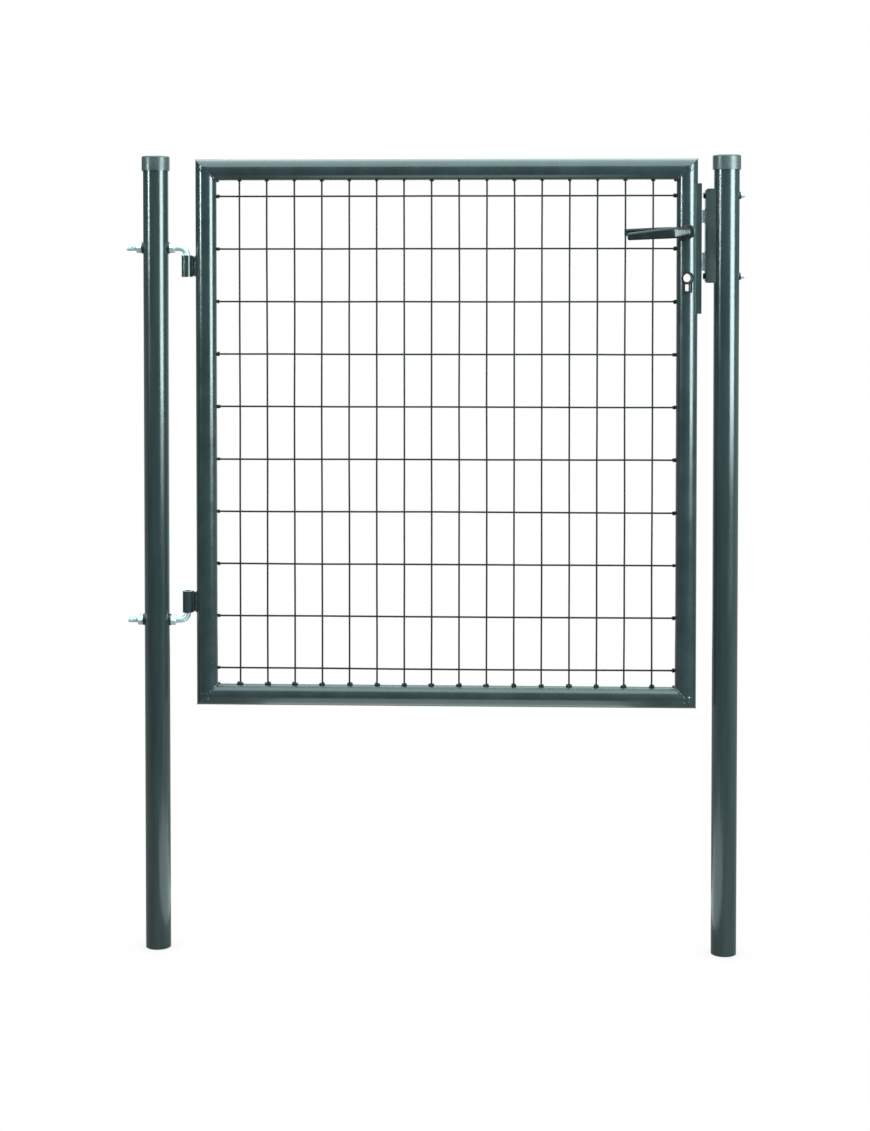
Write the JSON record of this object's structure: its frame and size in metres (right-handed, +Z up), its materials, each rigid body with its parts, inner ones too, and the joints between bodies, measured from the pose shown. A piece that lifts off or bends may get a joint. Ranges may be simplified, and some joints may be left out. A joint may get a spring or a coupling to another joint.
{
  "type": "garden gate",
  "caption": "Single garden gate: a tube-framed leaf with a welded wire grid, hung on adjustable J-bolt hinges between two round posts, with lever handles, latch, dead bolt and keep.",
  "frame": {"origin": "centre of the hinge post's foot", "axes": "+X from the hinge post to the latch post, +Z up along the posts, -Y out of the gate's front"},
  "size_m": [1.1695, 0.1, 1.5145],
  "materials": {
    "post_coat": "satin",
    "leaf_coat": "satin",
    "wire_coat": "satin",
    "cap_plastic": "matte",
    "washer_plastic": "matte",
    "zinc_plate": "bright zinc plate",
    "keep_coat": "matt",
    "lever_coat": "satin",
    "lock_steel": "zinc-plated steel",
    "spring_steel": "oiled spring steel"
  },
  "bodies": {
    "posts": {"hinge_post": "post_coat", "latch_post": "post_coat", "hinge_post_cap": "cap_plastic", "latch_post_cap": "cap_plastic", "upper_hinge_bolt": "zinc_plate", "lower_hinge_bolt": "zinc_plate", "hinge_nuts": "zinc_plate", "hinge_saddle_washers": "washer_plastic", "keep_channel": "keep_coat", "keep_bolts": "zinc_plate", "keep_nuts": "zinc_plate", "keep_saddle_washers": "washer_plastic"},
    "leaf": {"hinge_stile": "leaf_coat", "lock_stile": "leaf_coat", "top_rail": "leaf_coat", "bottom_rail": "leaf_coat", "vertical_wires": "wire_coat", "horizontal_wires": "wire_coat", "upper_hinge_eye": "leaf_coat", "lower_hinge_eye": "leaf_coat", "hinge_eye_webs": "leaf_coat", "lock_case": "lock_steel", "case_cover": "lock_steel", "case_rivets": "lock_steel", "seat_strip": "leaf_coat", "faceplate": "keep_coat", "faceplate_screws": "zinc_plate", "cylinder_screw": "zinc_plate", "front_escutcheon": "lever_coat", "rear_escutcheon": "lever_coat", "front_lever_bush": "lever_coat", "rear_lever_bush": "lever_coat", "latch_spring": "spring_steel", "follower_spring": "spring_steel", "dead_bolt_detent": "spring_steel"},
    "handle": {"front_lever": "lever_coat", "rear_lever": "lever_coat", "spindle": "lock_steel", "follower": "lock_steel", "lever_grub_screws": "zinc_plate"},
    "latch": {"latch_bolt": "lock_steel"},
    "deadlock": {"dead_bolt": "lock_steel"}
  },
  "joints": [
    {"name": "gate_swing", "type": "hinge", "parent": "posts", "child": "leaf", "pos_m": [0.059, 0, 0.988], "axis": [0, 0, 1], "range_deg": [-110, 110]},
    {"name": "handle_turn", "type": "hinge", "parent": "leaf", "child": "handle", "pos_m": [1.006, 0, 1.37], "axis": [0, -1, 0], "range_deg": [0, 40], "stiffness_Nm_per_rad": 1.2, "springref_deg": -28.65, "deforming": ["follower_spring"]},
    {"name": "latch_slide", "type": "slide", "parent": "leaf", "child": "latch", "axis": [-1, 0, 0], "range_m": [0, 0.011], "deforming": ["latch_spring"]},
    {"name": "dead_bolt_slide", "type": "slide", "parent": "leaf", "child": "deadlock", "axis": [-1, 0, 0], "range_m": [0, 0.014]}
  ],
  "couplings": [
    {"joint": "latch_slide", "follows": "handle_turn", "m_per_rad": 0.01575}
  ]
}
